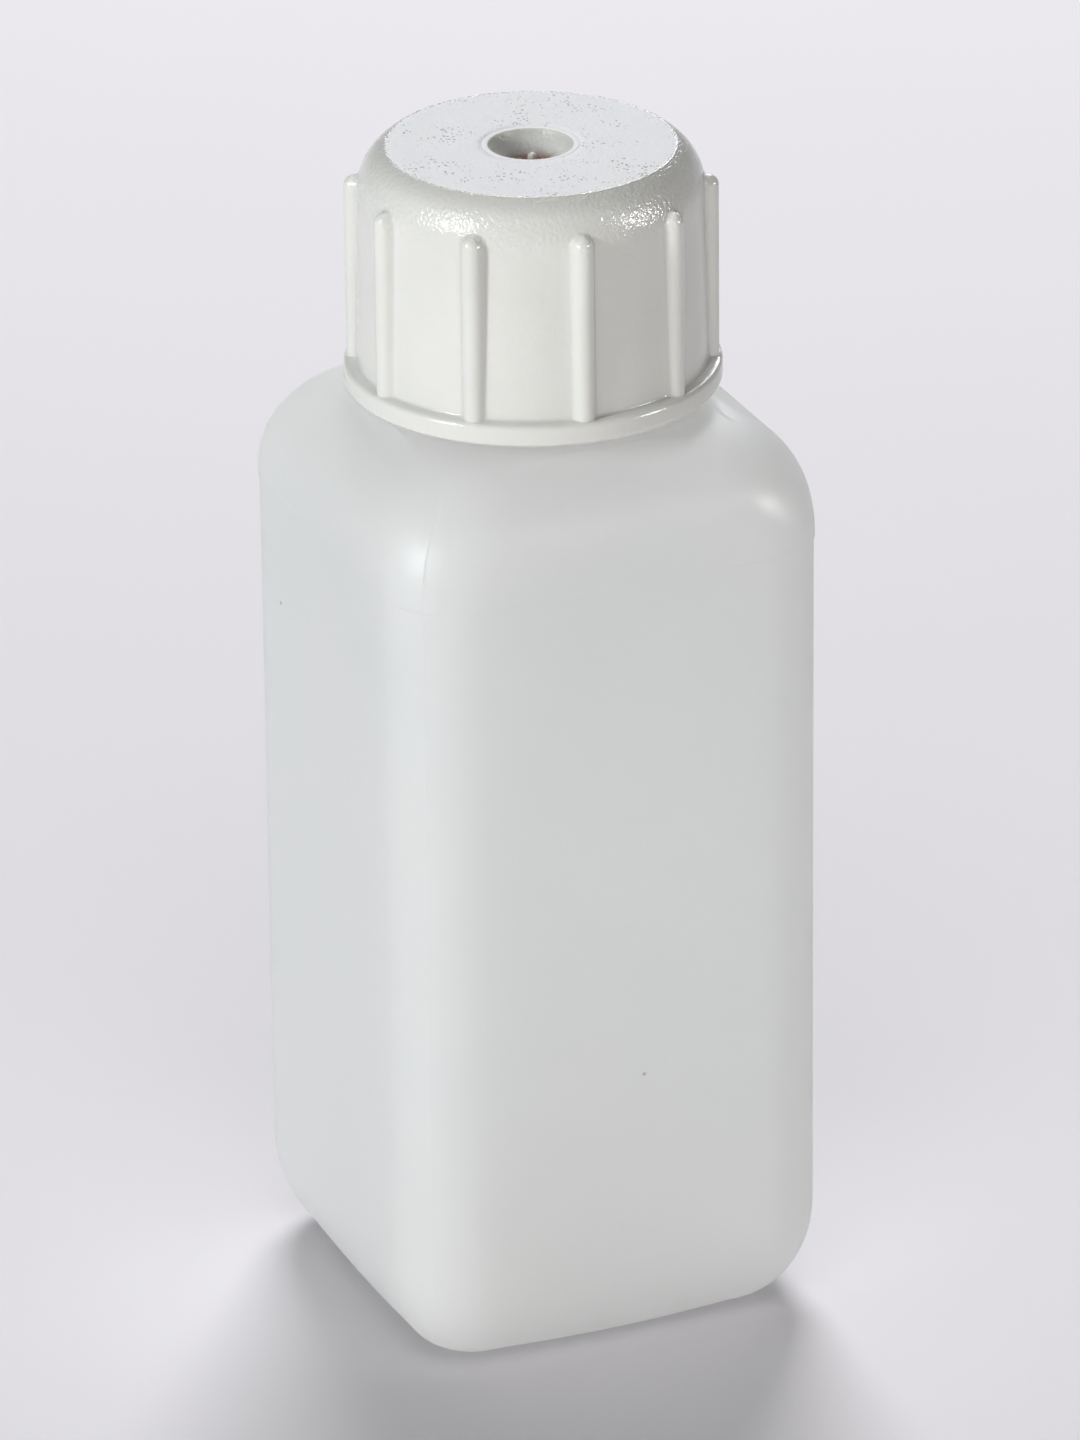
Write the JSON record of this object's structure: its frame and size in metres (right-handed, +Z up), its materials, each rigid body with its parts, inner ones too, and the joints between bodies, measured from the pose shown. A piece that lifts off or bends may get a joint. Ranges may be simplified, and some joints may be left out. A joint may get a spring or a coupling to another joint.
{
  "type": "reagent bottle",
  "caption": "Square blow-moulded plastic reagent bottle with a sloping shoulder, round threaded neck, ribbed white screw cap and a conical sealing insert.",
  "frame": {"origin": "centre of the base, on the surface that the bottle stands on", "axes": "+Z up through the neck and the cap; +X and +Y square to two of the flat side panels"},
  "size_m": [0.052, 0.052, 0.1397],
  "materials": {
    "bottle_plastic": "natural translucent polyethylene, satin with a faint orange peel",
    "cap_plastic": "glossy ivory-white moulding with a matt top disc",
    "insert_plastic": "soft natural polyethylene"
  },
  "bodies": {
    "bottle": {"bottle": "bottle_plastic"},
    "insert": {"sealing_insert": "insert_plastic"},
    "cap": {"screw_cap": "cap_plastic"}
  },
  "joints": [
    {"name": "cap_rise", "type": "slide", "parent": "bottle", "child": "insert", "axis": [0, 0, 1], "range_m": [0, 0.0271]},
    {"name": "cap_turn", "type": "hinge", "parent": "insert", "child": "cap", "pos_m": [0, 0, 0.125], "axis": [0, 0, 1], "range_deg": [0, 2430]}
  ],
  "couplings": [
    {"joint": "cap_rise", "follows": "cap_turn", "m_per_rad": 0.00063662}
  ]
}
